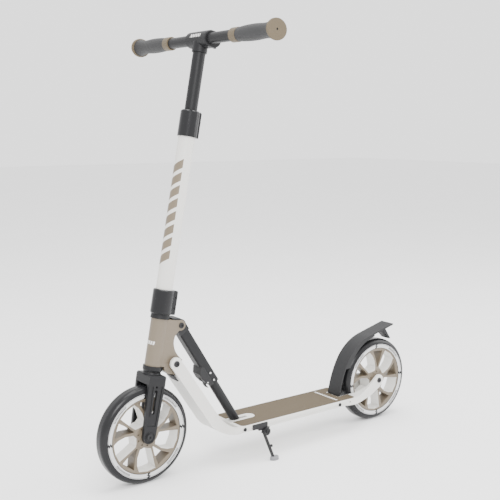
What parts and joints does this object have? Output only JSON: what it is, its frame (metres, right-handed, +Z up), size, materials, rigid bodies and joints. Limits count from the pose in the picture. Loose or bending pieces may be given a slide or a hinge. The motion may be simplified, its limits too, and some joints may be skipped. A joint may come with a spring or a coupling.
{
  "type": "kick scooter",
  "caption": "folding kick scooter with large spoked wheels, a grip-taped deck, a telescopic stem, a sliding support strut, a fender brake and a kickstand",
  "frame": {"origin": "on the ground midway between the wheels", "axes": "+X forward, +Y to the rider's left, +Z up"},
  "size_m": [0.871, 0.489, 0.9254],
  "materials": {
    "white_metal": "satin powder coat",
    "taupe_metal": "satin powder coat",
    "black_metal": "satin black coat",
    "black_gloss": "gloss black",
    "black_steel": "blackened steel",
    "steel": "plain steel",
    "aluminium": "turned",
    "white_plastic": "moulded",
    "taupe_plastic": "moulded",
    "taupe_tape": "fine grit",
    "black_plastic": "moulded",
    "grey_plastic": "moulded",
    "black_rubber": "soft moulded",
    "tyre": "cast polyurethane"
  },
  "bodies": {
    "frame": {"deck": "white_metal", "grip_tape": "taupe_tape", "slot_plate": "white_plastic", "foot_saddle": "steel", "foot_pin": "steel", "neck": "white_metal", "neck_bumper": "black_rubber", "rear_casting_left": "white_metal", "rear_casting_right": "white_metal", "deck_screws": "black_steel", "fold_bolt": "black_steel", "rear_axle": "black_steel", "fender_pin": "steel", "fender_spring": "steel", "kickstand_bracket": "black_steel", "kickstand_bolt": "black_steel"},
    "head": {"head_tube": "taupe_metal", "lug_cover": "black_plastic", "headset_cups": "black_metal", "headset_bearings": "steel", "strut_bolt": "black_steel"},
    "steering": {"fork": "black_metal", "steerer": "steel", "headset_races": "black_metal", "lower_clamp": "black_gloss", "clamp_bolts": "black_steel", "lower_stem": "white_metal", "height_collar": "black_gloss", "collar_screw": "black_steel", "front_axle": "black_steel"},
    "height_button": {"height_button": "black_plastic"},
    "upper_bar": {"upper_stem": "black_metal", "stem_bushing": "black_plastic", "bar_clamp": "black_metal", "bar_clamp_screws": "black_steel", "handlebar": "black_metal", "grip_left": "black_rubber", "grip_right": "black_rubber", "grip_rings": "taupe_plastic", "bar_ends": "taupe_plastic", "bar_end_screws": "black_steel"},
    "front_wheel": {"front_wheel_tyre": "tyre", "front_wheel_rim": "taupe_plastic", "front_wheel_bearings": "steel", "front_wheel_bearing_spacer": "aluminium"},
    "rear_wheel": {"rear_wheel_tyre": "tyre", "rear_wheel_rim": "taupe_plastic", "rear_wheel_bearings": "steel", "rear_wheel_bearing_spacer": "aluminium"},
    "strut_sleeve": {"strut_hood": "black_plastic", "strut_sleeve": "black_metal", "latch_housing": "black_plastic", "latch_rivets": "steel"},
    "strut_tube": {"strut_tube": "black_metal", "strut_foot": "black_steel"},
    "latch_trigger": {"latch_trigger": "black_plastic"},
    "fender_brake": {"fender": "black_plastic", "brake_pad": "black_rubber"},
    "kickstand": {"kickstand_leg": "black_steel", "kickstand_foot": "grey_plastic"}
  },
  "joints": [
    {"name": "fold", "type": "hinge", "parent": "frame", "child": "head", "pos_m": [0.26568, 0, 0.24469], "axis": [0, -1, 0], "range_deg": [0, 79.3]},
    {"name": "strut_swing", "type": "hinge", "parent": "head", "child": "strut_sleeve", "pos_m": [0.24631, 0, 0.32153], "axis": [0, -1, 0], "range_deg": [-77.4, 0]},
    {"name": "strut_slide", "type": "slide", "parent": "strut_sleeve", "child": "strut_tube", "axis": [0.5336, 0, 0.8457], "range_m": [0, 0.1012]},
    {"name": "steering", "type": "hinge", "parent": "head", "child": "steering", "pos_m": [0.333, 0, 0.1025], "axis": [-0.1853, 0, 0.9827], "continuous": true},
    {"name": "height", "type": "slide", "parent": "steering", "child": "upper_bar", "axis": [-0.1853, 0, 0.9827], "range_m": [-0.117, 0]},
    {"name": "height_button", "type": "slide", "parent": "steering", "child": "height_button", "axis": [0.9827, 0, 0.1853], "range_m": [0, 0.0025], "stiffness_N_per_m": 400, "springref_m": -0.002},
    {"name": "front_wheel_spin", "type": "hinge", "parent": "steering", "child": "front_wheel", "pos_m": [0.333, 0, 0.1025], "axis": [0, 1, 0], "continuous": true},
    {"name": "rear_wheel_spin", "type": "hinge", "parent": "frame", "child": "rear_wheel", "pos_m": [-0.333, 0, 0.1025], "axis": [0, 1, 0], "continuous": true},
    {"name": "latch_trigger", "type": "hinge", "parent": "strut_sleeve", "child": "latch_trigger", "pos_m": [0.17921, 0, 0.1865], "axis": [0, -1, 0], "range_deg": [0, 20], "stiffness_Nm_per_rad": 0.15, "springref_deg": -11.46},
    {"name": "brake", "type": "hinge", "parent": "frame", "child": "fender_brake", "pos_m": [-0.209, 0, 0.07705], "axis": [0, -1, 0], "range_deg": [0, 3], "stiffness_Nm_per_rad": 6, "springref_deg": -4.58},
    {"name": "kickstand", "type": "hinge", "parent": "frame", "child": "kickstand", "pos_m": [0.05071, 0, 0.062], "axis": [0, 1, 0], "range_deg": [0, 90]}
  ],
  "couplings": [
    {"joint": "strut_swing", "follows": "fold", "ratio": -0.97344},
    {"joint": "strut_slide", "follows": "fold", "m_per_rad": 0.072802}
  ]
}
